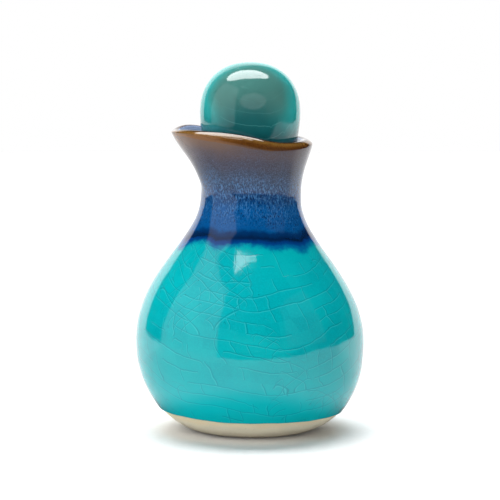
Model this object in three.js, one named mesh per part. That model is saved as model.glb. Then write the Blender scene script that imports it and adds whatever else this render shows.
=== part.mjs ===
// A small hand-thrown stoneware bottle with a broad pulled pouring lip and a ball stopper.
// Millimetres, +Z up. The origin is the centre of the foot, and the lip points along -X.
// The stopper stands in the mouth: a hollow ball with a hollow peg below it, and a cork
// sleeve on the peg that grips the bore of the neck.
import * as THREE from 'three';

// ---- Driving dimensions of the bottle: radius and height of each turn of the wall ----

const FOOT = { radius: 20, height: 0 };
const BELLY = { radius: 43.4, height: 34 };
const NECK = { radius: 19.2, height: 88 };
const RIM_EDGE = { radius: 23.6, height: 107.8 };
const RIM_CREST = { radius: 21, height: 111 };
const MOUTH_EDGE = { radius: 18.4, height: 108.6 };
const SEAT = { radius: 17.45, height: 105.5 };
const THROAT = { radius: 14.2, height: 94 };
const BORE_END = { radius: 14.2, height: 84 };
const INNER_BELLY = { radius: 39.2, height: 35 };
const INNER_FLOOR = { radius: 13, height: 7 };

// Stretches of the wall between those turns. Leave and arrive are the curve's handles at its
// two ends, as steps outwards and upwards, and steps is how many facets the stretch has.
const OUTSIDE = [
  { from: FOOT, leave: [4.5, 0], arrive: [0, -26.8], to: BELLY, steps: 8 },
  { from: BELLY, leave: [0, 25.3], arrive: [0, -15.3], to: NECK, steps: 10 },
  { from: NECK, leave: [0, 10.8], arrive: [0, -4], to: RIM_EDGE, steps: 8 },
  { from: RIM_EDGE, leave: [0, 1.8], arrive: [1.6, 0], to: RIM_CREST, steps: 3 },
];
const INSIDE = [
  { from: RIM_CREST, leave: [-1.5, 0], arrive: [0.4, 1.2], to: MOUTH_EDGE, steps: 2 },
  { from: MOUTH_EDGE, leave: [-0.3, -1], arrive: [0.3, 1], to: SEAT, steps: 2 },
  { from: SEAT, leave: [-1.2, -4.5], arrive: [0, 4], to: THROAT, steps: 4 },
  { from: BORE_END, leave: [0, -14], arrive: [0, 22], to: INNER_BELLY, steps: 8 },
  { from: INNER_BELLY, leave: [0, -18], arrive: [13, 0], to: INNER_FLOOR, steps: 6 },
];

// ---- The pulled lip -------------------------------------------------------------------

const LIP_PULL = 7.3;
const LIP_NARROWNESS = 4;
const LIP_THINNING = 0.42;
const LIP_RISE = 4.9;
const LIP_TIP_DIP = 1.4;
const LIP_TIP_WIDTH = 20;
const RISE_HALF_WIDTH = 70;
const RISE_SKEW = 27;
const RISE_FADE = 28;

// How far the rounded edge lies below the crest: on average, and how that changes once and
// twice round the rim.
const EDGE_DROP = { mean: 2.95, once: -0.6, twice: -0.95 };

// How far down each side of the wall follows the lip, and how quickly.
const OUTSIDE_FOLLOW = { start: 92.9, pull: 1.95, rise: 0.5 };
const INSIDE_FOLLOW = { start: 97, pull: 1.7, rise: 3 };
const ROUNDING_FOLLOW = 6.7;
const PINCH = { depth: 0.64, height: 92.2, spread: 3.4 };

// ---- The stopper and its cork sleeve --------------------------------------------------

const BALL = { radius: 18.95, height: 121, top: 140, squareness: 2.2 };
const BALL_SEAT = { radius: 17.1, height: 106 };
const BALL_WIDEST = { radius: BALL.radius, height: BALL.height };
const BALL_UNDERSIDE = { radius: 12, height: 98.5 };
const BALL_WALL = 3.6;
const HOLLOW_HANDLE = 8;
const PEG = { radius: 8.5, bore: 4.5, end: 77.5 };
const FIT_GAP = 0.3;
const CORK = { topRadius: 13.9, endRadius: 13, end: 80, chamfer: 0.8 };

const UNDER_BALL = [
  { from: BALL_UNDERSIDE, leave: [3, 0], arrive: [-1, -4], to: BALL_SEAT, steps: 4 },
  { from: BALL_SEAT, leave: [0.9, 4.5], arrive: [0, -4.5], to: BALL_WIDEST, steps: 4 },
];

// ---- Facets and finishes --------------------------------------------------------------

const BOTTLE_SEGMENTS = 60;
const STOPPER_SEGMENTS = 40;
const BALL_STEPS = 8;
const HOLLOW_STEPS = 6;
const HOLLOW_FLOOR_STEPS = 5;

const TURQUOISE_GLAZE = { color: 0x1f9fb0, roughness: 0.18, metalness: 0 };
const STOPPER_GLAZE = { color: 0x2f8f95, roughness: 0.18, metalness: 0 };
const CORK_BARK = { color: 0xb98a58, roughness: 0.85, metalness: 0 };

// ---- Curves ---------------------------------------------------------------------------

// A point is a Vector2: x is the radius and y the height.
const at = ({ radius, height }) => new THREE.Vector2(radius, height);

const shifted = (place, [outwards, upwards]) =>
  new THREE.Vector2(place.radius + outwards, place.height + upwards);

// The points of one stretch of wall.
function bend({ from, leave, arrive, to, steps }) {
  const curve = new THREE.CubicBezierCurve(at(from), shifted(from, leave), shifted(to, arrive), at(to));
  return curve.getPoints(steps);
}

// Joins stretches that share their end points, keeping each shared point once.
function joined(...stretches) {
  const points = [];
  for (const stretch of stretches) {
    for (const point of stretch) {
      const last = points[points.length - 1];
      if (!last || last.distanceTo(point) > 1e-6) points.push(point);
    }
  }
  return points;
}

// A closed body turned about the Z axis.
function turned(points, segments) {
  return new THREE.LatheGeometry(points, segments).rotateX(Math.PI / 2);
}

// ---- The bottle -----------------------------------------------------------------------

const outsideProfile = () => joined([new THREE.Vector2(0, FOOT.height)], ...OUTSIDE.map(bend));

const insideProfile = () => joined(...INSIDE.map(bend), [new THREE.Vector2(0, INNER_FLOOR.height)]);

// How far along the lip's pull a direction is: 1 at the tip, 0 opposite it.
const lipShare = (azimuth) => ((1 + Math.cos(azimuth)) / 2) ** LIP_NARROWNESS;

// How much higher the rim stands in one direction. The front stays high further round.
function rimRise(azimuth) {
  const degrees = THREE.MathUtils.radToDeg(azimuth);
  const halfWidth = RISE_HALF_WIDTH + RISE_SKEW * Math.sin(azimuth);
  const shoulder = 0.5 * (1 - Math.tanh((Math.abs(degrees) - halfWidth) / RISE_FADE));
  return LIP_RISE * shoulder - LIP_TIP_DIP * Math.exp(-((degrees / LIP_TIP_WIDTH) ** 2));
}

// How far the rounded edge lies below the crest in one direction.
const edgeDrop = (azimuth) =>
  EDGE_DROP.mean + EDGE_DROP.once * Math.cos(azimuth) + EDGE_DROP.twice * Math.cos(2 * azimuth);

// Moves one point of the turned wall to where the pulled lip carries it.
function pulled(radius, height, azimuth, follow) {
  const share = lipShare(azimuth);
  const reach = THREE.MathUtils.clamp((height - follow.start) / (RIM_EDGE.height - follow.start), 0, 1);
  const rounding = 1 - edgeDrop(azimuth) / (RIM_CREST.height - RIM_EDGE.height);
  const thinning = (radius - RIM_CREST.radius) * LIP_THINNING * share * reach ** ROUNDING_FOLLOW;
  return {
    radius: radius + share * LIP_PULL * reach ** follow.pull - thinning,
    height: height + rimRise(azimuth) * reach ** follow.rise
      + (RIM_CREST.height - height) * rounding * reach ** ROUNDING_FOLLOW,
  };
}

// The neck is squeezed a little under the lip.
const pinch = (height, azimuth) =>
  PINCH.depth * lipShare(azimuth) * Math.exp(-(((height - PINCH.height) / PINCH.spread) ** 2));

function bottleGeometry() {
  const outside = outsideProfile();
  const profile = joined(outside, insideProfile());
  const geometry = turned(profile, BOTTLE_SEGMENTS);
  const position = geometry.attributes.position;
  for (let index = 0; index < position.count; index += 1) {
    const [x, y, height] = [position.getX(index), position.getY(index), position.getZ(index)];
    const radius = Math.hypot(x, y);
    if (radius > 0) {
      const isOutside = index % profile.length < outside.length;
      const azimuth = Math.atan2(-y, -x);
      const moved = pulled(radius, height, azimuth, isOutside ? OUTSIDE_FOLLOW : INSIDE_FOLLOW);
      if (isOutside) moved.radius -= pinch(height, azimuth);
      position.setXYZ(index, x * moved.radius / radius, y * moved.radius / radius, moved.height);
    }
  }
  return geometry;
}

// ---- The stopper and the cork ---------------------------------------------------------

// The upper quarter of a slightly squared ball, from the axis to the widest point.
function ballQuarter(radius, semiHeight, steps) {
  const points = [];
  for (let step = 0; step <= steps; step += 1) {
    const angle = (step / steps) * Math.PI / 2;
    const out = radius * Math.sin(angle) ** (2 / BALL.squareness);
    const up = semiHeight * Math.max(0, Math.cos(angle)) ** (2 / BALL.squareness);
    points.push(new THREE.Vector2(out, BALL.height + up));
  }
  return points;
}

function stopperProfile() {
  const shoulder = BALL_UNDERSIDE.height;
  const hollowWidest = { radius: BALL.radius - BALL_WALL, height: BALL.height };
  const hollowFloor = { radius: PEG.bore, height: shoulder + BALL_WALL };
  const hollowDrop = hollowFloor.height + HOLLOW_HANDLE - BALL.height;
  return joined(
    [new THREE.Vector2(PEG.bore, PEG.end), new THREE.Vector2(PEG.radius, PEG.end)],
    [new THREE.Vector2(PEG.radius, shoulder)],
    ...UNDER_BALL.map(bend),
    ballQuarter(BALL.radius, BALL.top - BALL.height, BALL_STEPS).reverse(),
    ballQuarter(hollowWidest.radius, BALL.top - BALL.height - BALL_WALL, HOLLOW_STEPS),
    bend({
      from: hollowWidest,
      leave: [0, hollowDrop],
      arrive: [HOLLOW_HANDLE, 0],
      to: hollowFloor,
      steps: HOLLOW_FLOOR_STEPS,
    }),
    [new THREE.Vector2(PEG.bore, PEG.end)],
  );
}

function corkProfile() {
  const top = BALL_UNDERSIDE.height - FIT_GAP;
  const bore = PEG.radius + FIT_GAP;
  return [
    new THREE.Vector2(bore, CORK.end),
    new THREE.Vector2(CORK.endRadius - CORK.chamfer, CORK.end),
    new THREE.Vector2(CORK.endRadius, CORK.end + CORK.chamfer),
    new THREE.Vector2(CORK.topRadius, top - CORK.chamfer),
    new THREE.Vector2(CORK.topRadius - CORK.chamfer, top),
    new THREE.Vector2(bore, top),
    new THREE.Vector2(bore, CORK.end),
  ];
}

// ---- The object -----------------------------------------------------------------------

function named(name, geometry, finish) {
  const mesh = new THREE.Mesh(geometry, new THREE.MeshStandardMaterial(finish));
  mesh.name = name;
  return mesh;
}

const stopperedBottle = new THREE.Group();
stopperedBottle.add(
  named('bottle', bottleGeometry(), TURQUOISE_GLAZE),
  named('cork_sleeve', turned(corkProfile(), STOPPER_SEGMENTS), CORK_BARK),
  named('stopper', turned(stopperProfile(), STOPPER_SEGMENTS), STOPPER_GLAZE),
);

export default stopperedBottle;
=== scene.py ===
import math

import bpy
import numpy as np
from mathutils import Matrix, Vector


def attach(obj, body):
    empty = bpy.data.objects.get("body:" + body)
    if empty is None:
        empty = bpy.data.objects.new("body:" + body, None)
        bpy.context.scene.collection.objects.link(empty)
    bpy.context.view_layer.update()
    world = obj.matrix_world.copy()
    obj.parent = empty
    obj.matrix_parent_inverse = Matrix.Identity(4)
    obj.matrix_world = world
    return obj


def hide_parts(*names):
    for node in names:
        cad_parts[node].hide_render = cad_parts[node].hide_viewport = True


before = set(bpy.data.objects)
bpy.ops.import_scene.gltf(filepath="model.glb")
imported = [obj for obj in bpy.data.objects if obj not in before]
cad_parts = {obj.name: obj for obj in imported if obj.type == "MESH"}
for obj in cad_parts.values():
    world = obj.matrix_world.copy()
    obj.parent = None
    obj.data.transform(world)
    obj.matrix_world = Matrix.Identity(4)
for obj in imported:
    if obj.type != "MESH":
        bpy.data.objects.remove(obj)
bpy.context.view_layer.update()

MM = 0.001

# ---- The bottle's turning points: radius and height ----

FOOT = np.array((20.0, 0.0))
BELLY = np.array((43.4, 34.0))
NECK = np.array((19.2, 88.0))
RIM_EDGE = np.array((23.7, 108.4))
RIM_CREST = np.array((21.0, 111.0))
MOUTH_EDGE = np.array((18.4, 108.6))
SEAT = np.array((17.45, 105.5))
THROAT = np.array((14.2, 94.0))
BORE_END = np.array((14.2, 84.0))
INNER_BELLY = np.array((39.2, 35.0))
INNER_FLOOR = np.array((13.0, 7.0))

# ---- The pulled lip ----

LIP_PULL = 7.3
LIP_NARROWNESS = 4
LIP_THINNING = 0.42
RIM_RISE = 4.9
RISE_HALF_WIDTH = 70
RISE_FURTHER_IN_FRONT = 27
RISE_SOFTNESS = 28
TIP_DIP = 1.4
TIP_DIP_WIDTH = 20
EDGE_HEIGHT = 2.35
EDGE_FLATTER_AT_LIP = 0.6
EDGE_FLATTER_AT_BOTH_ENDS = 0.95

# How the wall follows the lip: the heights from which it is pulled out and lifted, and the powers
# with which both grow up to the rim's edge.
ROUNDING_FOLLOW = 6.7
OUTSIDE_FOLLOW = {"start": 92.9, "pull": 1.95, "rise_start": 88.0, "rise": 0.83}
INSIDE_FOLLOW = {"start": 97.0, "pull": 1.7, "rise_start": 97.0, "rise": 3.0}

# ---- The stopper ----

BALL_RADIUS = 18.95
BALL_HEIGHT = 121.0
BALL_TOP = 140.0
BALL_SQUARENESS = 2.2
BALL_SEAT = np.array((17.1, 106.0))
BALL_UNDERSIDE = np.array((12.0, 98.5))
BALL_WALL = 3.6
PEG_RADIUS = 8.5
PEG_BORE = 4.5
PEG_END = 77.5
PEG_ROUNDING = 0.5
CORK_TOP_RADIUS = 13.9
CORK_END_RADIUS = 13.0
CORK_END = 80.0
CORK_CHAMFER = 0.8
FIT_GAP = 0.3


# ---- Outlines ----

def bend(start, leave, arrive, end, shares):
    """Points of a cubic Bezier at the given shares of the way. Leave and arrive are handles."""
    start, end = np.asarray(start), np.asarray(end)
    first, second = start + leave, end + arrive
    t = np.asarray(shares)[..., None]
    return ((1 - t) ** 3 * start + 3 * (1 - t) ** 2 * t * first
            + 3 * (1 - t) * t ** 2 * second + t ** 3 * end)


def even(steps):
    """Evenly spaced shares, without the first, which belongs to the stretch before."""
    return np.linspace(0, 1, steps + 1)[1:]


def smoothstep(low, high, value):
    share = np.clip((value - low) / (high - low), 0.0, 1.0)
    return share * share * (3 - 2 * share)


def between(value, rise_start, rise_end, fall_start, fall_end):
    """1 from the end of the rise to the start of the fall, and 0 outside both."""
    return smoothstep(rise_start, rise_end, value) * (1 - smoothstep(fall_start, fall_end, value))


def hill(value, centre, width):
    """1 at the centre, falling away on both sides."""
    return np.exp(-((value - centre) / width) ** 2)


def waves(azimuth, parts):
    """The sum of some waves, each given by its size, how many go round, and its offset."""
    return sum(size * np.sin(count * azimuth + offset) for size, count, offset in parts)


def lip_share(azimuth):
    """1 at the tip of the lip, 0 on the far side."""
    return ((1 + np.cos(azimuth)) / 2) ** LIP_NARROWNESS


def rim_rise(azimuth):
    """How much higher the rim stands. It stays high further round the front than the back."""
    degrees = np.degrees(azimuth)
    half_width = RISE_HALF_WIDTH + RISE_FURTHER_IN_FRONT * np.sin(azimuth)
    shoulder = 0.5 * (1 - np.tanh((np.abs(degrees) - half_width) / RISE_SOFTNESS))
    return RIM_RISE * shoulder - TIP_DIP * hill(degrees, 0, TIP_DIP_WIDTH)


def edge_height(azimuth):
    """Height of the rounded edge below the crest."""
    return (EDGE_HEIGHT - EDGE_FLATTER_AT_LIP * np.cos(azimuth)
            - EDGE_FLATTER_AT_BOTH_ENDS * np.cos(2 * azimuth))


def climbed(height, start):
    """Share of the way from the start up to the rim's edge."""
    return np.clip((height - start) / (RIM_EDGE[1] - start), 0, 1)


def pulled(radius, height, azimuth, follow):
    """Carries the wall's points to where the pulled lip takes them."""
    share = lip_share(azimuth)
    rounding_reach = climbed(height, follow["start"]) ** ROUNDING_FOLLOW
    rounding = 1 - edge_height(azimuth) / (RIM_CREST[1] - RIM_EDGE[1])
    thinning = (radius - RIM_CREST[0]) * LIP_THINNING * share * rounding_reach
    pull = share * LIP_PULL * climbed(height, follow["start"]) ** follow["pull"]
    rise = rim_rise(azimuth) * climbed(height, follow["rise_start"]) ** follow["rise"]
    settling = (RIM_CREST[1] - height) * rounding * rounding_reach
    return radius + pull - thinning, height + rise + settling


# ---- Where the glazes end ----

GLAZE_LINE = 8.1
GLAZE_LINE_TILT = 0.8
GLAZE_LINE_WAVES = ((0.16, 3, 0.7), (0.10, 7, 2.1), (0.05, 19, 0.0))
DRIP_EDGE = 74.0
DRIP_EDGE_WAVES = ((0.5, 2, 1.0), (0.35, 9, 0.4))

# The runs of the blue glaze: the azimuth of each in degrees, its depth, and its width in degrees.
DRIP_RUNS = ((14, 4.6, 15), (61, 1.5, 7), (115, 1.2, 9), (138, 3.4, 13), (-35, 2.4, 10),
             (-78, 3.4, 8), (-110, 1.8, 7), (-150, 3.0, 11), (171, 3.4, 13))


def glaze_line(azimuth):
    """Height of the glaze's lower edge: nearly level, a little lower on the right."""
    return GLAZE_LINE + GLAZE_LINE_TILT * np.cos(azimuth) + waves(azimuth, GLAZE_LINE_WAVES)


def tongues(azimuth, table):
    """The depth of some runs, each given by its azimuth, depth and width."""
    degrees = np.degrees(azimuth)
    return sum(depth * hill((degrees - centre + 180) % 360 - 180, 0, width)
               for centre, depth, width in table)


def drip_edge(azimuth):
    """Height at which the blue glaze over the neck ends, with the runs that hang from it."""
    return DRIP_EDGE + waves(azimuth, DRIP_EDGE_WAVES) - tongues(azimuth, DRIP_RUNS)


# ---- Mesh making ----

def quads(index, closed):
    """Faces between rows of point numbers, and the row of each. At the axis they are triangles."""
    rows, columns = index.shape
    faces, face_rows = [], []
    for row in range(rows if closed else rows - 1):
        below, above = index[row], index[(row + 1) % rows]
        for column in range(columns):
            beside = (column + 1) % columns
            corners = (below[column], below[beside], above[beside], above[column])
            face = tuple(dict.fromkeys(int(corner) for corner in corners))
            if len(face) > 2:
                faces.append(face)
                face_rows.append(row)
    return faces, np.array(face_rows)


def turned_mesh(name, radius, height, azimuth, closed, values=None):
    """A turned body from rows of points by azimuth. A row of zero radius is one point.
    Closed joins the last row to the first. Values are named numbers kept on the points."""
    rows, columns = radius.shape
    vertices, index = [], np.zeros((rows, columns), int)
    for row in range(rows):
        on_axis = np.all(radius[row] < 1e-9)
        count = 1 if on_axis else columns
        index[row] = len(vertices) + (0 if on_axis else np.arange(columns))
        x = -radius[row] * np.cos(azimuth) * MM
        y = -radius[row] * np.sin(azimuth) * MM
        vertices.extend(zip(x[:count], y[:count], height[row][:count] * MM))
    faces, face_rows = quads(index, closed)
    mesh = bpy.data.meshes.new(name)
    mesh.from_pydata(vertices, [], faces)
    mesh.shade_smooth()
    for value_name, value in (values or {}).items():
        layer = mesh.attributes.new(value_name, "FLOAT", "POINT")
        flat = np.zeros(len(vertices))
        flat[index.ravel()] = value.ravel()
        layer.data.foreach_set("value", flat)
    mesh.validate()
    piece = bpy.data.objects.new(name, mesh)
    bpy.context.scene.collection.objects.link(piece)
    return piece, face_rows


def all_round(columns):
    """Azimuths of the columns."""
    return (np.arange(columns) / columns) * 2 * np.pi - np.pi


def spread(points, azimuth):
    """The same profile in every column."""
    return [(radius * np.ones_like(azimuth), height * np.ones_like(azimuth)) for radius, height in points]


def stacked(rows):
    """The radius and the height of every point, from rows of both."""
    return np.array([row[0] for row in rows]), np.array([row[1] for row in rows])


# ---- The bottle ----

BOTTLE_COLUMNS = 256

# Stretches of the profile: the start, the handles that leave it and arrive at the end, the end,
# and how many steps there are.
OUTSIDE = ((BELLY, (0, 25.3), (0, -15.3), NECK, 64),
           (NECK, (0, 10.8), (-0.7, -4), RIM_EDGE, 56))
MOUTH = ((RIM_CREST, (-1.5, 0), (0.4, 1.2), MOUTH_EDGE, 12),
         (MOUTH_EDGE, (-0.3, -1), (0.3, 1), SEAT, 6),
         (SEAT, (-1.2, -4.5), (0, 4), THROAT, 14))
INSIDE = ((BORE_END, (0, -14), (0, 22), INNER_BELLY, 26),
          (INNER_BELLY, (0, -18), (13, 0), INNER_FLOOR, 18))

# The foot, and the glaze's edge over it. The climb is the way from the edge up to the belly.
FOOT_HANDLES = ((4.5, 0.0), (0.0, -26.8))
FOOT_TABLE_STEPS = 600
BASE_ROWS = (0.0, 0.4, 0.75, 0.95)
CLAY_STEPS = 26
GLAZE_CLIMB = np.concatenate([np.geomspace(0.0008, 0.05, 16), np.linspace(0.07, 1, 34)])
SMALL_SHARE = 1e-3
GLAZE_BEAD = 0.42
BEAD_REACH = 0.5
BEAD_KEPT = 0.25
BEAD_THINS_OVER = 3.5
BEAD_END = (14, 27)

# The rim's rounding, as two handles, and what is added to them where the lip begins in front.
RIM_STEPS = 18
RIM_SIDE = (0.15, 0.8)
RIM_TOP = (0.9, 0.0)
LIP_START = 62
LIP_START_WIDTH = 34
LIP_START_SIDE = (0.05, 0.3)
LIP_START_TOP = (-0.4, 0.0)

# What the hand left: rings by pitch, way round and offset, hollows by depth, how many go round,
# height for a radian's turn, and offset, and a swelling on the shoulder in front.
RING_DEPTH = 0.02
RINGS = ((8.3, 1, 0.0), (13.7, -1, 1.3))
HOLLOWS = ((0.06, 2, 16, 0.0), (0.02, 5, -11, 2.0))
THROWN_BAND = (10, 26, 86, 100)
SWELLING = 0.09
SWELLING_TWIST = 0.03
SWELLING_TWIST_COUNT = 5
SWELLING_HEIGHT = 66
SWELLING_TALL = 6
SWELLING_WIDE = np.radians(25)
DRIP_THICKNESS = 0.06
DRIP_THICK_BAND = (-1.5, 1.5, 8, 25)
PINCH = 0.64
PINCH_HEIGHT = 92.2
PINCH_TALL = 3.4

# The waist's drops are given as the drips' runs are, and the leans by shift, height and reach.
WAIST_DROPS = ((90, 3.0, 22), (25, 2.0, 14), (124, -1.8, 9))
WAIST_BAND = (80, 91, 95, 107)
FOOT_LEAN = 1.1
LEANS = ((-0.5, 60, 17), (0.3, 86, 7))

SOFTENED_ROWS_BELOW_CREST = 40
SOFTENED_ROWS_INSIDE = 26
SOFTENING_ROUNDS = 6


def foot_curve(shares):
    return bend(FOOT, *FOOT_HANDLES, BELLY, shares)


def glazed_belly(shares, line):
    """The outside above the glaze's line, where the glaze ends in a rounded edge."""
    bare = foot_curve(shares)
    along = foot_curve(np.minimum(shares + SMALL_SHARE, 1.0)) - foot_curve(shares - SMALL_SHARE)
    along /= np.linalg.norm(along, axis=2, keepdims=True)
    distance = np.linalg.norm(bare - line[None], axis=2)
    bead = np.sqrt(1 - (1 - np.clip(distance / BEAD_REACH, 0, 1)) ** 2)
    thinning = np.exp(-np.maximum(distance - BEAD_REACH, 0) / BEAD_THINS_OVER)
    thickness = GLAZE_BEAD * bead * (BEAD_KEPT + (1 - BEAD_KEPT) * thinning)
    thickness *= 1 - smoothstep(*BEAD_END, distance)
    return bare[..., 0] + thickness * along[..., 1], bare[..., 1] - thickness * along[..., 0]


def foot_rows(azimuth):
    """The flat base and the bare foot, up to the glaze's edge, then the glazed belly. Also gives
    the number of the row at the glaze's edge."""
    table = np.linspace(0, 1, FOOT_TABLE_STEPS)
    line_share = np.interp(glaze_line(azimuth), foot_curve(table)[:, 1], table)[None, :]
    base = spread([(share * FOOT[0], 0.0) for share in BASE_ROWS], azimuth)
    clay = foot_curve(line_share * np.linspace(0, 1, CLAY_STEPS + 1)[:, None])
    radius, height = glazed_belly(line_share + (1 - line_share) * GLAZE_CLIMB[:, None], clay[-1])
    rows = base + list(zip(clay[..., 0], clay[..., 1])) + list(zip(radius, height))
    return rows, len(base) + len(clay) - 1


def stretches(table, azimuth):
    """Rows along some stretches of the profile, the same in every column."""
    rows = []
    for start, leave, arrive, end, steps in table:
        rows += spread(bend(start, leave, arrive, end, even(steps)), azimuth)
    return rows


def rim_rows(azimuth):
    """Rounds the rim off. Where the lip begins in front it slopes more evenly."""
    sloping = hill(np.degrees(azimuth), LIP_START, LIP_START_WIDTH)[:, None]
    side = RIM_SIDE + sloping * LIP_START_SIDE
    top = RIM_TOP + sloping * LIP_START_TOP
    rim = bend(RIM_EDGE, side, top, RIM_CREST, even(RIM_STEPS)[:, None])
    return list(zip(rim[..., 0], rim[..., 1]))


def outer_rows(azimuth):
    """The outside up to the rim's crest, and the numbers of its rows at the glaze's edge and the
    rim's edge."""
    rows, line_row = foot_rows(azimuth)
    rows += stretches(OUTSIDE, azimuth)
    edge_row = len(rows) - 1
    return rows + rim_rows(azimuth), line_row, edge_row


def inner_rows(azimuth):
    """The inside, from below the crest to the middle of the floor."""
    bore_end = spread([BORE_END], azimuth)
    middle = spread([(0.0, INNER_FLOOR[1])], azimuth)
    return stretches(MOUTH, azimuth) + bore_end + stretches(INSIDE, azimuth) + middle


def waist_drop(azimuth, height):
    """The neck's narrowest ring isn't level: how much lower it lies than it was turned."""
    return tongues(azimuth, WAIST_DROPS) * between(height, *WAIST_BAND)


def pull_lip(radius, height, azimuth, crest_row):
    """Pulls the lip out of the turned wall, then pinches the neck below it and lowers its waist."""
    turned_height = height.copy()
    outside = slice(0, crest_row + 1)
    inside = slice(crest_row + 1, None)
    for rows, follow in ((outside, OUTSIDE_FOLLOW), (inside, INSIDE_FOLLOW)):
        radius[rows], height[rows] = pulled(radius[rows], height[rows], azimuth[None, :], follow)
    pinch = PINCH * lip_share(azimuth) * hill(turned_height, PINCH_HEIGHT, PINCH_TALL)
    radius[outside] -= pinch[outside]
    height[outside] -= waist_drop(azimuth, turned_height[outside])


def soften(radius, height, crest_row):
    """Rounds off the creases that the pull leaves near the rim's edge."""
    rows = slice(crest_row - SOFTENED_ROWS_BELOW_CREST, crest_row + SOFTENED_ROWS_INSIDE)
    for _ in range(SOFTENING_ROUNDS):
        for values in (radius, height):
            window = values[rows]
            window[1:-1] = 0.5 * window[1:-1] + 0.25 * (window[:-2] + window[2:])


def unevenness(azimuth, height):
    """The soft rings and hollows that throwing leaves, in millimetres of radius."""
    turn = azimuth / (2 * np.pi)
    rings = sum(RING_DEPTH * np.sin(2 * np.pi * (height / pitch + way * turn) + offset)
                for pitch, way, offset in RINGS)
    hollows = sum(depth * np.sin(count * azimuth + height / radian_height + offset)
                  for depth, count, radian_height, offset in HOLLOWS)
    from_front = azimuth - np.pi / 2
    above = height - SWELLING_HEIGHT
    twist = SWELLING_TWIST * above * np.sin(SWELLING_TWIST_COUNT * from_front)
    swelling = (SWELLING + twist) * hill(from_front, 0, SWELLING_WIDE) * hill(above, 0, SWELLING_TALL)
    return (rings + hollows) * between(height, *THROWN_BAND) + swelling


def lean(height):
    """The thrown body isn't quite straight: how far its outside stands to the right."""
    foot = FOOT_LEAN * (1 - smoothstep(0, BELLY[1], height))
    return foot + sum(shift * hill(height, centre, tall) for shift, centre, tall in LEANS)


def shift_outside(piece, crest_row):
    """Leans the outside a little, from its foot to its neck. The bore and mouth stay true."""
    mesh = piece.data
    coordinates = np.empty(len(mesh.vertices) * 3)
    mesh.vertices.foreach_get("co", coordinates)
    coordinates = coordinates.reshape(-1, 3)
    outer_points = 1 + crest_row * BOTTLE_COLUMNS
    heights = coordinates[:outer_points, 2] / MM
    coordinates[:outer_points, 0] += lean(heights) * MM
    mesh.vertices.foreach_set("co", coordinates.ravel())
    mesh.update()


def way_along(radius, height):
    """How far each point lies along its column, from the middle of the base."""
    step = np.hypot(np.diff(radius, axis=0), np.diff(height, axis=0))
    return np.concatenate([np.zeros((1, radius.shape[1])), np.cumsum(step, axis=0)])


def bottle():
    """The bottle, with the rows that its faces lie in and the number of the glaze's first row."""
    azimuth = all_round(BOTTLE_COLUMNS)
    outside, line_row, edge_row = outer_rows(azimuth)
    crest_row = len(outside) - 1
    radius, height = stacked(outside + inner_rows(azimuth))
    turned_height = height.copy()
    pull_lip(radius, height, azimuth, crest_row)
    radius[-1] = 0.0
    soften(radius, height, crest_row)
    above_drip = height - drip_edge(azimuth)[None, :]
    glazed = slice(line_row + 1, crest_row + 1)
    radius[glazed] += unevenness(azimuth, turned_height[glazed])
    radius[glazed] += DRIP_THICKNESS * between(above_drip[glazed], *DRIP_THICK_BAND)
    along = way_along(radius, height)
    values = {"above_drip": above_drip, "below_edge": along[edge_row][None, :] - along,
              "below_crest": along[crest_row][None, :] - along}
    piece, face_rows = turned_mesh("stoneware_bottle", radius, height, azimuth, False, values)
    shift_outside(piece, crest_row)
    return piece, face_rows, line_row


# ---- The stopper and its cork ----

STOPPER_COLUMNS = 192
CORK_COLUMNS = 160
PEG_FLARE = 0.6
HOLLOW_ROUNDING = 8
BALL_UNEVENNESS = ((0.12, 2, 0.6), (0.06, 3, -1.0))
UNEVEN_FROM_HEIGHT = (108, 116)
UNEVEN_FROM_RADIUS = (0, 8)


def ball_quarter(radius, semi_height, steps):
    """The upper quarter of a slightly squared ball, from the widest point to the axis."""
    angle = np.pi / 2 * even(steps)
    out = radius * np.maximum(np.cos(angle), 0) ** (2 / BALL_SQUARENESS)
    up = semi_height * np.sin(angle) ** (2 / BALL_SQUARENESS)
    out[-1] = 0.0
    return list(zip(out, BALL_HEIGHT + up))


def peg_outline():
    """The peg, from its open end up to the underside of the ball."""
    top = BALL_UNDERSIDE[1]
    peg = [(PEG_BORE + PEG_ROUNDING, PEG_END), (PEG_RADIUS - PEG_ROUNDING, PEG_END)]
    peg += list(bend(peg[-1], (0.3, 0), (0, -0.3), (PEG_RADIUS, PEG_END + PEG_ROUNDING), even(3)))
    peg += [(PEG_RADIUS, height) for height in np.linspace(PEG_END + 2, top - PEG_FLARE, 12)]
    return peg + list(bend(peg[-1], (0, 0.4), (-0.4, 0), (PEG_RADIUS + PEG_FLARE, top), even(3)))


def ball_outline():
    """The glazed ball, from the underside to its top."""
    outline = [tuple(BALL_UNDERSIDE)]
    outline += list(bend(BALL_UNDERSIDE, (3, 0), (-1, -4), BALL_SEAT, even(16)))
    outline += list(bend(BALL_SEAT, (0.9, 4.5), (0, -4.5), (BALL_RADIUS, BALL_HEIGHT), even(20)))
    return outline + ball_quarter(BALL_RADIUS, BALL_TOP - BALL_HEIGHT, 44)


def hollow_outline():
    """The hollow in the ball, from its top down to the bore's lower end."""
    radius = BALL_RADIUS - BALL_WALL
    floor = BALL_UNDERSIDE[1] + BALL_WALL
    leave = (0, floor + HOLLOW_ROUNDING - BALL_HEIGHT)
    outline = ball_quarter(radius, BALL_TOP - BALL_HEIGHT - BALL_WALL, 14)[::-1]
    outline += list(bend((radius, BALL_HEIGHT), leave, (HOLLOW_ROUNDING, 0), (PEG_BORE, floor),
                         np.linspace(0, 1, 13)))
    return outline + [(PEG_BORE, PEG_END + PEG_ROUNDING)]


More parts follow.
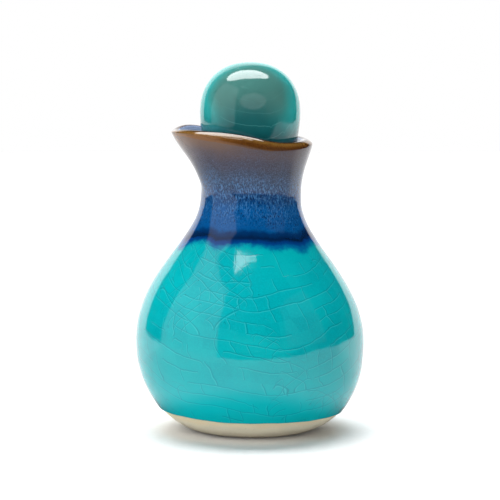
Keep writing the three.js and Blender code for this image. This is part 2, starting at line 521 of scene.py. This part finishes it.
def stopper():
    """The stopper, with the rows that its faces lie in and the number of its first glazed row."""
    azimuth = all_round(STOPPER_COLUMNS)
    peg = peg_outline()
    outside = peg + ball_outline()
    radius, height = stacked(spread(outside + hollow_outline(), azimuth))
    ball = slice(len(peg), len(outside))
    kept = smoothstep(*UNEVEN_FROM_HEIGHT, height[ball]) * smoothstep(*UNEVEN_FROM_RADIUS, radius[ball])
    radius[ball] += kept * waves(azimuth, BALL_UNEVENNESS)
    piece, face_rows = turned_mesh("ball_stopper", radius, height, azimuth, True)
    return piece, face_rows, len(peg)


def cork():
    """The cork: a ring that tapers to its lower end, with both outer edges rounded."""
    azimuth = all_round(CORK_COLUMNS)
    top = BALL_UNDERSIDE[1] - FIT_GAP
    bore = PEG_RADIUS + FIT_GAP
    side_start = np.array((CORK_END_RADIUS, CORK_END + CORK_CHAMFER))
    side_end = np.array((CORK_TOP_RADIUS, top - CORK_CHAMFER))
    outline = [(bore, CORK_END), (CORK_END_RADIUS - CORK_CHAMFER, CORK_END)]
    outline += list(bend(outline[-1], (0.5, 0), (0, -0.5), side_start, even(4)))
    outline += [side_start + (side_end - side_start) * share for share in even(39)]
    top_end = (CORK_TOP_RADIUS - CORK_CHAMFER, top)
    outline += list(bend(outline[-1], (0, 0.5), (0.5, 0), top_end, even(4)))
    outline += [(bore, top)]
    outline += [(bore, height) for height in np.linspace(top, CORK_END, 12)[1:-1]]
    radius, height = stacked(spread(outline, azimuth))
    piece, _ = turned_mesh("cork_ring", radius, height, azimuth, True)
    return piece


# ---- Nodes ----

def paint(red, green, blue):
    """A colour from its screen values, 0 to 255, as linear light."""
    def linear(value):
        share = value / 255
        return share / 12.92 if share <= 0.04045 else ((share + 0.055) / 1.055) ** 2.4
    return (linear(red), linear(green), linear(blue), 1.0)


class Shader:
    """Builds the node tree of a material or a world. Calls add nodes and give back an output."""

    def __init__(self, owner):
        owner.use_nodes = True
        self.owner = owner
        self.tree = owner.node_tree
        self.tree.nodes.clear()

    def put(self, socket, value):
        if isinstance(value, bpy.types.NodeSocket):
            self.tree.links.new(value, socket)
        elif socket.type in ("VECTOR", "RGBA") and not hasattr(value, "__len__"):
            socket.default_value = [value] * len(socket.default_value)
        else:
            socket.default_value = value

    def node(self, kind, inputs=None, **settings):
        made = self.tree.nodes.new("ShaderNode" + kind)
        for setting, value in settings.items():
            setattr(made, setting, value)
        for socket, value in (inputs or {}).items():
            self.put(made.inputs[socket], value)
        return made

    def place(self):
        """Where a point is on its piece, in millimetres."""
        place = self.node("TexCoord").outputs["Object"]
        return self.node("VectorMath", {0: place, "Scale": 1 / MM}, operation="SCALE").outputs[0]

    def attribute(self, name):
        return self.node("Attribute", attribute_name=name).outputs["Fac"]

    def math(self, operation, first, second=0.0):
        return self.node("Math", {0: first, 1: second}, operation=operation).outputs[0]

    def product(self, first, *others):
        for other in others:
            first = self.math("MULTIPLY", first, other)
        return first

    def total(self, first, *others):
        for other in others:
            first = self.math("ADD", first, other)
        return first

    def parts(self, vector):
        """The x, y and z of a vector."""
        return self.node("SeparateXYZ", {0: vector}).outputs

    def joined(self, *parts):
        return self.node("CombineXYZ", dict(enumerate(parts))).outputs[0]

    def centred(self, value, amount):
        """A value between 0 and 1, moved to lie about 0 and made as large as amount."""
        return self.product(self.math("SUBTRACT", value, 0.5), amount)

    def stretched(self, vector, across, up):
        """Stretches a texture's place: across in x and y, up in z."""
        factors = (across, across, up)
        return self.node("VectorMath", {0: vector, 1: factors}, operation="MULTIPLY").outputs[0]

    def noise(self, vector, scale, detail, roughness=0.5):
        inputs = {"Vector": vector, "Scale": scale, "Detail": detail, "Roughness": roughness}
        return self.node("TexNoise", inputs).outputs["Fac"]

    def uneven(self, vector, scale, detail, amount):
        """Noise about 0, up to half the amount each way."""
        return self.centred(self.noise(vector, scale, detail), amount)

    def chance(self, *parts):
        """A random value from 0 to 1 for each set of whole numbers."""
        return self.node("TexWhiteNoise", {"Vector": self.joined(*parts)}).outputs["Value"]

    def shifted(self, vector, shift):
        """A place moved by the same shift in x, y and z."""
        return self.node("VectorMath", {0: vector, 1: (shift,) * 3}, operation="ADD").outputs[0]

    def away_from(self, vector, centre):
        return self.node("VectorMath", {0: vector, 1: centre}, operation="DISTANCE").outputs["Value"]

    def specks(self, vector, scale, size):
        """Small round spots, one here and there."""
        cell = self.node("TexVoronoi", {"Vector": vector, "Scale": scale})
        return self.fade(cell.outputs["Distance"], size, size * 0.45)

    def fade(self, value, low, high):
        """0 at low, 1 at high, smooth between."""
        inputs = {"Value": value, "From Min": low, "From Max": high}
        return self.node("MapRange", inputs, interpolation_type="SMOOTHSTEP").outputs[0]

    def mix(self, factor, first, second):
        """The first colour where the factor is 0, the second where it is 1."""
        inputs = {0: factor, 6: first, 7: second}
        return self.node("Mix", inputs, data_type="RGBA").outputs[2]

    def tint(self, colour, mask, amount, second):
        """Mixes in the second colour where the mask is 1, by the amount."""
        return self.mix(self.product(mask, amount), colour, second)

    def ramp(self, value, top, stops):
        """Colours at heights from 0 to top."""
        share = self.node("MapRange", {"Value": value, "From Max": top}).outputs[0]
        made = self.node("ValToRGB", {"Fac": share})
        ramp = made.color_ramp
        ramp.interpolation = "EASE"
        while len(ramp.elements) < len(stops):
            ramp.elements.new(0.5)
        for element, (height, colour) in zip(ramp.elements, stops):
            element.position = height / top
            element.color = colour
        return made.outputs["Color"]

    def bump(self, height, distance, normal=None):
        """Relief of a depth in millimetres, added to any relief there is."""
        inputs = {"Height": height, "Distance": distance * MM}
        if normal is not None:
            inputs["Normal"] = normal
        return self.node("Bump", inputs).outputs[0]

    def surface(self, colour, roughness, ior, normal):
        inputs = {"Base Color": colour, "Roughness": roughness, "IOR": ior, "Normal": normal}
        shader = self.node("BsdfPrincipled", inputs).outputs[0]
        self.node("OutputMaterial", {"Surface": shader})
        return self.owner


def new_shader(name):
    return Shader(bpy.data.materials.new(name))


# ---- Glazes ----

GLAZE_IOR = 1.58

# Cracks: spacings in millimetres, slants, and how rare each kind is. FAR means no crack near.
LONG_SPACING = 4.4
CROSS_SPACING = 5.7
CROSS_COUNT = 44
CROSS_SLANT = 0.05
CROSS_ABSENT = 0.62
SWEEP = 14.0
SWEEP_TURN = -0.15
LONG_RARITY = 0.44
NET_RARITY = 0.40
NET_CENTRE = (-20, -31, 62)
NET_FAMILIES = ((4.9, 21.0, 11.0), (4.1, -34.0, 17.0))
CRACK_SEED = 3.0
CRACK_STEP = 9.7
CRACK_RUN = 1.7
FAR = 9.0
GROOVE_REACH = 0.5

# Colours, and where in millimetres those that belong to a height or a place lie.
# In COPPER, the light crack edge colour is a painted highlight below each crack, and the foot colour is
# painted bounce light.
COPPER = {"deep": paint(0, 139, 147), "shallow": paint(0, 150, 155), "foot": paint(4, 162, 170),
          "cloud": paint(0, 160, 164), "plate": paint(16, 162, 166), "crack": paint(0, 112, 124),
          "painted_crack_highlight": paint(70, 190, 193), "speck": paint(8, 74, 82)}
COBALT = ((0.0, paint(0, 84, 132)), (1.2, paint(0, 52, 112)), (2.6, paint(2, 28, 62)),
          (4.2, paint(0, 40, 84)), (6.2, paint(0, 72, 130)), (12.0, paint(0, 72, 130)),
          (18.0, paint(0, 44, 88)), (22.0, paint(8, 36, 66)), (26.0, paint(26, 34, 54)),
          (30.0, paint(42, 37, 51)), (34.0, paint(60, 48, 53)), (40.0, paint(78, 60, 53)))
COBALT_TOP = 40.0
COBALT_LEVEL = 73.2
RUTILE = {"run": paint(66, 120, 170), "fleck": paint(84, 108, 144), "dash": paint(0, 22, 50)}
IRON = {"honey": (paint(92, 62, 22), paint(108, 78, 36)), "deep": (paint(66, 36, 10), paint(80, 48, 16)),
        "orange": paint(140, 92, 44), "crest": paint(50, 32, 20), "haze": paint(112, 82, 58)}
# Inside the mouth: a pale blue-white just inside the crest, which is a painted reflection of the bright
# surroundings, then the dark navy glaze deeper in.
MOUTH_REFLECTION_AND_GLAZE = (paint(128, 142, 172), paint(46, 44, 70))
# On the ball, the low colour and the darker colour low in front are painted shade, where the rim shades
# the ball.
BALL = {"low": paint(0, 70, 76), "high": paint(40, 154, 152), "grey_patch": paint(62, 106, 100),
        "painted_shade_pool": paint(0, 60, 66), "crack": paint(96, 176, 172)}
# Centre of a greyer patch on the front of the ball, in millimetres.
BALL_GREY_PATCH = (0, -18, 129)
# Centre of the painted shade low on the front of the ball, in millimetres.
BALL_PAINTED_SHADE = (0, -17, 113)
# Clay colours by height on the foot; the darker lowest stops are painted shade under the rounded foot.
CLAY = ((0.0, paint(164, 154, 140)), (2.0, paint(200, 191, 170)), (4.5, paint(215, 207, 185)),
        (7.6, paint(217, 202, 170)), (9.5, paint(218, 196, 160)))
CLAY_TOP = 10.0
CLAY_GRAIN = paint(150, 130, 104)
CLAY_SPECK = paint(104, 84, 64)
CORK = {"dark": paint(150, 104, 62), "light": paint(198, 156, 106), "pit": paint(84, 50, 28),
        "fleck": paint(104, 66, 38)}


def around(shader, place):
    """The way round from the front, in radians, growing to the right, with its seam behind."""
    x, y, _ = shader.parts(place)
    return shader.math("ARCTAN2", x, shader.product(y, -1.0))


def crack_family(shader, level, spacing, turn, seed, cut):
    """Height in millimetres above the nearest crack, where cracks run at whole numbers of level.
    Each crack comes and goes along its way round: the higher the cut, the less of it there is."""
    nearest = shader.math("ROUND", level)
    above = shader.product(shader.math("SUBTRACT", level, nearest), spacing)
    track = shader.joined(shader.product(nearest, CRACK_STEP), shader.product(turn, CRACK_RUN), seed)
    absent = shader.fade(shader.noise(track, 1.0, 1.0), cut + 0.03, cut)
    return shader.total(above, shader.product(absent, FAR))


def long_levels(shader, place, turn):
    """A number that is whole on each of the long cracks, which sweep round the pot."""
    sweep = shader.product(shader.math("COSINE", shader.total(turn, SWEEP_TURN)), SWEEP)
    wander = shader.total(shader.uneven(place, 0.03, 1.0, 2.4), shader.uneven(place, 0.22, 2.0, 0.25))
    level = shader.product(shader.total(shader.parts(place)[2], sweep), 1 / LONG_SPACING)
    return shader.total(level, wander)


def cross_levels(shader, place, turn):
    """A number that is whole on each of the short cracks, which join the long ones."""
    bend_over = shader.uneven(place, 0.09, 2.0, 1.3)
    slant = shader.product(shader.parts(place)[2], CROSS_SLANT)
    return shader.total(shader.product(turn, CROSS_COUNT / math.tau), slant, bend_over)


def cross_cracks(shader, strip, cross_level):
    """Distance from the nearest short crack. Many are left out of each strip between long ones."""
    crossing = shader.math("ROUND", cross_level)
    beside = shader.product(shader.math("SUBTRACT", cross_level, crossing), CROSS_SPACING)
    absent = shader.math("LESS_THAN", shader.chance(strip, crossing, 1.0), CROSS_ABSENT)
    return shader.total(beside, shader.product(absent, FAR))


def net_cracks(shader, place, turn):
    """Heights above the slanting cracks of the net, which lies in patches and on the left."""
    on_left = shader.fade(shader.away_from(place, NET_CENTRE), 30.0, 17.0)
    patches = shader.math("MAXIMUM", shader.fade(shader.noise(place, 0.034, 1.0), 0.57, 0.66), on_left)
    outside_net = shader.product(shader.math("SUBTRACT", 1.0, patches), FAR)
    cracks = []
    for spacing, slant, seed in NET_FAMILIES:
        wander = shader.uneven(shader.shifted(place, seed), 0.07, 1.0, 0.7)
        slanted = shader.total(shader.parts(place)[2], shader.product(turn, slant))
        level = shader.total(shader.product(slanted, 1 / spacing), wander)
        family = crack_family(shader, level, spacing, turn, seed, NET_RARITY)
        cracks.append(shader.total(family, outside_net))
    return cracks


def crackle(shader, place, short_cracks=True):
    """Distances from the cracks: the long ones, the short ones if wanted, and the net's. Also a
    random value for each plate between the cracks, and how each plate is tipped."""
    turn = around(shader, place)
    long_level = long_levels(shader, place, turn)
    cross_level = cross_levels(shader, place, turn)
    strip = shader.math("FLOOR", long_level)
    cracks = [crack_family(shader, long_level, LONG_SPACING, turn, CRACK_SEED, LONG_RARITY)]
    if short_cracks:
        cracks.append(cross_cracks(shader, strip, cross_level))
    plate = shader.chance(strip, shader.math("FLOOR", cross_level), 2.0)
    within = shader.total(shader.math("FRACT", long_level), -0.5)
    tipped = shader.product(within, LONG_SPACING, shader.centred(plate, 1.0))
    return cracks + net_cracks(shader, place, turn), plate, tipped


def along_cracks(shader, cracks, below, reach):
    """1 along the line that lies this far below each crack, fading to 0 at the reach from it."""
    nearest = FAR
    for above in cracks:
        away = shader.math("ABSOLUTE", shader.total(above, below))
        nearest = shader.math("MINIMUM", away, nearest)
    return shader.fade(nearest, reach, 0.0)


def turquoise(shader, place, cracks, plate):
    """Copper turquoise: a little uneven in depth, with dark hair cracks and a few iron specks.
    A painted highlight runs just below each crack, and painted light makes it lighter towards the foot.
    """
    depth = shader.fade(shader.noise(place, 0.045, 2.0), 0.35, 0.68)
    # Painted light: the turquoise turns lighter towards the foot, standing in for the floor's bounce
    # light on the lower belly.
    painted_light_near_foot = shader.fade(shader.parts(place)[2], 30.0, 12.0)
    cloud = shader.fade(shader.noise(place, 1.6, 4.0), 0.35, 0.75)
    # Painted highlight: a light line just below each crack, where the groove's lower side would catch the
    # light from above.
    edges = along_cracks(shader, cracks, 0.33, 0.24)
    lines = along_cracks(shader, cracks, 0.0, 0.28)
    specks = shader.specks(place, 0.13, 0.035)
    colour = shader.mix(depth, COPPER["deep"], COPPER["shallow"])
    colour = shader.tint(colour, painted_light_near_foot, 0.8, COPPER["foot"])
    colour = shader.tint(colour, cloud, 0.5, COPPER["cloud"])
    colour = shader.tint(colour, plate, 0.3, COPPER["plate"])
    colour = shader.tint(colour, edges, 0.24, COPPER["painted_crack_highlight"])
    colour = shader.tint(colour, lines, 0.62, COPPER["crack"])
    return shader.tint(colour, specks, 0.75, COPPER["speck"])


def streaks(shader, place, up, scale, detail, roughness, low, high):
    """Noise drawn out up the pot, 0 below low and 1 above high."""
    noise = shader.noise(shader.stretched(place, 1.0, up), scale, detail, roughness)
    return shader.fade(noise, low, high)


def zone(shader, height, rise_start, rise_end, fall_start, fall_end):
    """1 from the end of the rise to the start of the fall, in the height over the drips' edge."""
    rise = shader.fade(height, rise_start, rise_end)
    return shader.product(rise, shader.fade(height, fall_end, fall_start))


def neck_glaze(shader, place, height):
    """Cobalt over the neck: navy at its edge, then blue, then streaked rutile under the rim.
    The navy band lies more level than the edge, which hangs in runs."""
    level = shader.product(shader.total(height, shader.parts(place)[2], -COBALT_LEVEL), 0.5)
    level = shader.total(level, shader.uneven(place, 0.5, 3.0, 1.6))
    colour = shader.ramp(level, COBALT_TOP, COBALT)
    runs = streaks(shader, place, 0.34, 2.3, 3.0, 0.6, 0.46, 0.64)
    flecks = streaks(shader, place, 0.7, 3.6, 3.0, 0.65, 0.47, 0.64)
    dashes = streaks(shader, place, 0.28, 2.8, 2.0, 0.6, 0.55, 0.66)
    runs = shader.product(runs, zone(shader, height, 3.0, 17.0, 20.0, 29.0))
    flecks = shader.product(flecks, zone(shader, height, 14.0, 20.0, 22.0, 41.0))
    dashes = shader.product(dashes, zone(shader, height, 4.0, 9.0, 18.0, 28.0))
    colour = shader.tint(colour, runs, 0.62, RUTILE["run"])
    colour = shader.tint(colour, flecks, 0.55, RUTILE["fleck"])
    return shader.tint(colour, dashes, 0.9, RUTILE["dash"])


def rim_brown(shader, place, below_crest):
    """Iron shows brown where little glaze covers the rim: dark on the crest, honey below it,
    then a deeper brown, which is more orange towards the lip."""
    mottle = shader.fade(shader.noise(place, 1.5, 3.0), 0.3, 0.7)
    orange = shader.fade(shader.parts(place)[0], 2.0, -22.0)
    honey = shader.mix(mottle, *IRON["honey"])
    deep = shader.tint(shader.mix(mottle, *IRON["deep"]), orange, 0.45, IRON["orange"])
    colour = shader.mix(shader.fade(below_crest, 1.8, 3.6), honey, deep)
    return shader.mix(shader.fade(below_crest, 1.6, 0.6), colour, IRON["crest"])


def below_rim_band(shader, place):
    """Millimetres below the brown band, which reaches lower from the middle to the lip."""
    towards_lip = shader.fade(shader.parts(place)[0], 14.0, 0.0)
    waver = shader.uneven(place, 0.2, 2.0, 0.7)
    return shader.total(shader.attribute("below_edge"), waver, shader.product(towards_lip, -1.2))


def glaze_relief(shader, place, cracks, tipped, in_turquoise):
    """The glaze's fine bump: a soft waviness, tipped plates and a groove along each crack."""
    groove = shader.product(along_cracks(shader, cracks, 0.0, GROOVE_REACH), in_turquoise)
    normal = shader.bump(shader.noise(place, 0.16, 2.0), 0.03)
    normal = shader.bump(shader.product(tipped, in_turquoise), 0.008, normal)
    return shader.bump(shader.math("SUBTRACT", 1.0, groove), 0.006, normal)


def bottle_glaze():
    """The whole glaze of the bottle, from the foot over the rim and into the mouth."""
    shader = new_shader("bottle_glaze")
    place = shader.place()
    above_drip = shader.attribute("above_drip")
    below_crest = shader.attribute("below_crest")
    cracks, plate, tipped = crackle(shader, place)
    height = shader.total(above_drip, shader.uneven(place, 0.55, 3.0, 2.6))
    colour = turquoise(shader, place, cracks, plate)
    colour = shader.mix(shader.fade(height, -1.7, 0.9), colour, neck_glaze(shader, place, above_drip))
    below_band = below_rim_band(shader, place)
    near_lip = shader.fade(shader.parts(place)[0], 4.0, -20.0)
    haze = shader.product(shader.fade(below_band, 6.5, 0.0), near_lip)
    colour = shader.tint(colour, haze, 0.45, IRON["haze"])
    # Painted reflection just inside the crest, fading to the dark navy glaze deeper in the mouth.
    inside = shader.mix(shader.fade(below_crest, -1.0, -7.0), *MOUTH_REFLECTION_AND_GLAZE)
    colour = shader.mix(shader.fade(below_crest, -0.4, -1.4), colour, inside)
    band = shader.product(shader.fade(below_band, 0.1, -0.35), shader.fade(below_crest, -1.3, -0.5))
    colour = shader.mix(band, colour, rim_brown(shader, place, below_crest))
    relief = glaze_relief(shader, place, cracks, tipped, shader.fade(height, 1.0, -1.5))
    return shader.surface(colour, 0.07, GLAZE_IOR, relief)


def ball_glaze():
    """The ball's turquoise, greyer in a patch high in front. Painted shade darkens it low down and
    low in front, where the rim shades it.
    """
    shader = new_shader("ball_glaze")
    place = shader.place()
    cracks, _, tipped = crackle(shader, place, short_cracks=False)
    height = shader.parts(place)[2]
    uneven = shader.uneven(place, 0.08, 2.0, 5.0)
    uneven_height = shader.total(height, uneven)
    # A greyer patch high on the front of the ball.
    grey_patch = shader.fade(shader.total(shader.away_from(place, BALL_GREY_PATCH), uneven), 21.0, 12.0)
    grey_patch = shader.product(grey_patch, shader.fade(uneven_height, 109.0, 128.0))
    # Painted shade low on the front of the ball, next to the rim.
    painted_shade_pool = shader.fade(shader.away_from(place, BALL_PAINTED_SHADE), 19.0, 7.0)
    clearer_low = shader.total(shader.product(shader.fade(height, 126.0, 114.0), 0.8), 0.2)
    lines = shader.product(along_cracks(shader, cracks, 0.0, 0.26), clearer_low)
    # Darker low down: painted shade where the rim shades the ball.
    colour = shader.mix(shader.fade(uneven_height, 106.0, 126.0), BALL["low"], BALL["high"])
    colour = shader.tint(colour, grey_patch, 0.95, BALL["grey_patch"])
    colour = shader.tint(colour, painted_shade_pool, 0.75, BALL["painted_shade_pool"])
    colour = shader.tint(colour, lines, 0.2, BALL["crack"])
    normal = shader.bump(shader.noise(place, 0.16, 2.0), 0.04)
    return shader.surface(colour, 0.08, GLAZE_IOR, shader.bump(tipped, 0.01, normal))


# ---- Bare clay and cork ----

def bare_clay():
    """The unglazed foot and peg: pale and sandy, darker at the bottom of the foot: painted shade where it
    stands.
    """
    shader = new_shader("bare_clay")
    place = shader.place()
    height = shader.total(shader.parts(place)[2], shader.uneven(place, 0.12, 3.0, 3.0))
    grain = shader.fade(shader.noise(place, 3.2, 5.0, 0.65), 0.5, 0.8)
    specks = shader.specks(place, 0.7, 0.13)
    colour = shader.ramp(height, CLAY_TOP, CLAY)
    colour = shader.tint(colour, grain, 0.3, CLAY_GRAIN)
    colour = shader.tint(colour, specks, 0.4, CLAY_SPECK)
    normal = shader.bump(shader.noise(place, 2.6, 6.0, 0.7), 0.12)
    return shader.surface(colour, 0.85, 1.45, normal)


def cork_grain():
    """Cork: mottled brown with dark pits and flecks."""
    shader = new_shader("cork_grain")
    place = shader.place()
    cells = shader.noise(shader.stretched(place, 1.0, 0.7), 0.9, 6.0, 0.7)
    pits = shader.specks(shader.stretched(place, 1.0, 0.5), 0.42, 0.3)
    flecks = shader.fade(shader.noise(place, 3.5, 4.0), 0.6, 0.75)
    colour = shader.mix(shader.fade(cells, 0.3, 0.7), CORK["dark"], CORK["light"])
    colour = shader.mix(pits, colour, CORK["pit"])
    colour = shader.tint(colour, flecks, 0.5, CORK["fleck"])
    relief = shader.math("SUBTRACT", cells, pits)
    return shader.surface(colour, 0.9, 1.4, shader.bump(relief, 0.35))


# ---- The pieces ----

def paint_rows(piece, face_rows, first, second, change_row):
    """Gives the rows below change_row the first material, and the rest the second."""
    piece.data.materials.append(first)
    piece.data.materials.append(second)
    piece.data.polygons.foreach_set("material_index", (face_rows >= change_row).astype(int))
    piece.data.update()


clay = bare_clay()

bottle_piece, bottle_rows, line_row = bottle()
paint_rows(bottle_piece, bottle_rows, clay, bottle_glaze(), line_row)
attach(bottle_piece, "vessel")
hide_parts("bottle")

stopper_piece, stopper_rows, first_glazed_row = stopper()
paint_rows(stopper_piece, stopper_rows, clay, ball_glaze(), first_glazed_row)
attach(stopper_piece, "knob")
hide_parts("stopper")

cork_piece = cork()
cork_piece.data.materials.append(cork_grain())
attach(cork_piece, "cork")
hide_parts("cork_sleeve")


# ---- Floor, light and camera ----

FLOOR_HALF_WIDTH = 1.0
FLOOR_TONES = ((0.84, 0.84, 0.84, 1), (0.87, 0.87, 0.87, 1))

# The white sheet that the glaze mirrors, in metres, and its shade under the belly and how it
# grows brighter towards the back, in millimetres from the axis.
TABLE_FRONT = -0.25
TABLE_BACK = 2.6
TABLE_HALF_WIDTH = 0.65
TABLE_HEIGHT = -0.0002
TABLE_RADIANCE = 0.85
TABLE_BRIGHTER = 0.5
BRIGHTER_FROM = -20.0
BRIGHTER_TO = 90.0
SHADE_NARROWING = 1.35
SHADE_FROM = 47.0
SHADE_TO = 78.0

# The backdrop, as the glaze mirrors it. Rises are the height of the direction, 1 straight up.
BACKDROP_RADIANCE = 1.4
BACKDROP_EDGE = math.cos(math.radians(48))
BACKDROP_EDGE_SOFTNESS = 0.01
BACKDROP_NARROWING = 0.55
BACKDROP_LEAN = 0.35
BACKDROP_FULL_BELOW = 0.35
BACKDROP_DIM_ABOVE = 0.95
BACKDROP_DIM = 0.15
ROOM_RADIANCE = 0.01

CAMERA_PLACE = (0, -1.35, 0.248)
CAMERA_TARGET = (0, 0, 0.06855)


def sheet(name, left, right, front, back, height):
    """A level rectangle that belongs to the studio, not to the object."""
    corners = [(x, y, height) for x, y in ((left, front), (right, front), (right, back), (left, back))]
    mesh = bpy.data.meshes.new(name)
    mesh.from_pydata(corners, [], [(0, 1, 2, 3)])
    made = bpy.data.objects.new(name, mesh)
    bpy.context.scene.collection.objects.link(made)
    return made


def floor():
    """The pale floor. The glaze doesn't mirror it, but the white table top instead."""
    made = sheet("floor", -FLOOR_HALF_WIDTH, FLOOR_HALF_WIDTH, -FLOOR_HALF_WIDTH, FLOOR_HALF_WIDTH, 0)
    shader = new_shader("pale_floor")
    grain = shader.noise(shader.place(), 0.4, 3.0)
    colour = shader.mix(shader.fade(grain, 0.3, 0.7), *FLOOR_TONES)
    made.data.materials.append(shader.surface(colour, 0.6, 1.3, shader.bump(grain, 0.02)))
    made.visible_glossy = False


def table_top():
    """The table's mirror image in the glaze: white, brighter towards the back, and shaded under
    the belly by the foot."""
    made = sheet("table_top", -TABLE_HALF_WIDTH, TABLE_HALF_WIDTH, TABLE_FRONT, TABLE_BACK, TABLE_HEIGHT)
    shader = new_shader("table_glow")
    place = shader.place()
    narrowed = {0: place, 1: (SHADE_NARROWING, 1, 0)}
    narrowed = shader.node("VectorMath", narrowed, operation="MULTIPLY").outputs[0]
    away = shader.node("VectorMath", {0: narrowed}, operation="LENGTH").outputs["Value"]
    further_back = shader.fade(shader.parts(place)[1], BRIGHTER_FROM, BRIGHTER_TO)
    radiance = shader.total(shader.product(further_back, TABLE_BRIGHTER), TABLE_RADIANCE)
    strength = shader.product(shader.fade(away, SHADE_FROM, SHADE_TO), radiance)
    glow = shader.node("Emission", {"Strength": strength}).outputs[0]
    shader.node("OutputMaterial", {"Surface": glow})
    made.data.materials.append(shader.owner)
    made.visible_camera = False
    made.visible_diffuse = False
    made.visible_shadow = False


def backdrop(shader):
    """The radiance of the white behind the object, which narrows, leans and dims as it rises."""
    direction = shader.node("TexCoord").outputs["Generated"]
    level = shader.node("VectorMath", {0: direction, 1: (1, 1, 0)}, operation="MULTIPLY").outputs[0]
    unit = shader.node("VectorMath", {0: level}, operation="NORMALIZE").outputs[0]
    right, back, _ = shader.parts(unit)
    rise = shader.math("MAXIMUM", shader.parts(direction)[2], 0.0)
    narrowing = shader.total(shader.product(right, BACKDROP_LEAN), BACKDROP_NARROWING)
    facing = shader.math("SUBTRACT", back, shader.product(rise, narrowing))
    edge = BACKDROP_EDGE - BACKDROP_EDGE_SOFTNESS, BACKDROP_EDGE + BACKDROP_EDGE_SOFTNESS
    behind = shader.fade(facing, *edge)
    low = shader.fade(rise, BACKDROP_DIM_ABOVE, BACKDROP_FULL_BELOW)
    share = shader.total(shader.product(low, 1 - BACKDROP_DIM), BACKDROP_DIM)
    return shader.product(behind, share, BACKDROP_RADIANCE)


def surroundings():
    """White behind the object, a dim room in front of it, and plain white to the camera."""
    world = bpy.data.worlds.new("studio")
    bpy.context.scene.world = world
    shader = Shader(world)
    radiance = shader.total(backdrop(shader), ROOM_RADIANCE)
    seen = shader.node("LightPath").outputs["Is Camera Ray"]
    strength = shader.node("Mix", {0: seen, 2: radiance, 3: 1.0}, data_type="FLOAT").outputs[0]
    background = shader.node("Background", {"Color": 1.0, "Strength": strength}).outputs[0]
    shader.node("OutputWorld", {"Surface": background})


def aimed(thing, place, target):
    """Puts a light or a camera in its place, looking at the target."""
    thing.location = place
    thing.rotation_euler = (Vector(target) - Vector(place)).to_track_quat("-Z", "Y").to_euler()
    bpy.context.scene.collection.objects.link(thing)


def softbox(name, place, target, size, radiance, mirrored=True, only_on=None, roll=0, shape="RECTANGLE"):
    """A flat white light whose face has the given radiance. Mirrored: gloss shows it."""
    light = bpy.data.lights.new(name, "AREA")
    light.shape = shape
    light.size, light.size_y = size
    light.energy = radiance * math.pi * size[0] * size[1]
    box = bpy.data.objects.new(name, light)
    box.visible_camera = False
    box.visible_glossy = mirrored
    if only_on is not None:
        lit = bpy.data.collections.new(name + "_lights")
        lit.objects.link(only_on)
        box.light_linking.receiver_collection = lit
    aimed(box, place, target)
    box.rotation_euler.rotate_axis("Z", math.radians(roll))


def lights():
    """Soft boxes that the glaze mirrors, three of them for one piece only, and unmirrored fills."""
    softbox("top_softbox", place=(-0.08, 0.17, 0.9), target=(-0.08, 0.17, 0), size=(0.98, 0.5),
            radiance=7.2, shape="ELLIPSE")
    softbox("rim_softbox", place=(-0.06, -0.135, 0.9), target=(-0.06, -0.135, 0), size=(0.72, 0.11),
            radiance=7.5, only_on=bottle_piece)
    softbox("shoulder_softbox", place=(-0.06, -0.365, 0.9), target=(-0.06, -0.365, 0), size=(0.36, 0.115),
            radiance=4.9, only_on=bottle_piece, roll=4)
    softbox("ball_softbox", place=(0.17, -1.0, 0.58), target=(0, 0, 0.12), size=(1.2, 0.72),
            radiance=0.6, only_on=stopper_piece, shape="ELLIPSE")
    softbox("left_softbox", place=(-0.91, -0.41, 0.68), target=(0, 0, 0.68), size=(1.3, 1.69),
            radiance=0.65)
    softbox("right_softbox", place=(0.85, -0.5, 0.5), target=(0, 0, 0.5), size=(0.8, 0.9),
            radiance=0.12)
    softbox("front_fill", place=(-1.1, -1.35, 0.9), target=(0, 0, 0.07), size=(2.0, 1.6),
            radiance=2.1, mirrored=False)
    softbox("low_fill", place=(0.45, -1.55, 0.2), target=(0, 0, 0.03), size=(2.2, 0.4),
            radiance=4.1, mirrored=False)
    softbox("back_fill", place=(0, 1.7, 2.0), target=(0, 1.7, 0), size=(3.2, 2.4),
            radiance=2.6, mirrored=False)


def camera():
    """The photograph's view."""
    lens = bpy.data.cameras.new("camera")
    lens.lens = 258.4
    lens.sensor_width = 36
    lens.clip_end = 20
    seen_from = bpy.data.objects.new("camera", lens)
    aimed(seen_from, CAMERA_PLACE, CAMERA_TARGET)
    bpy.context.scene.camera = seen_from


camera()
floor()
table_top()
surroundings()
lights()
bpy.context.scene.view_settings.view_transform = "Standard"
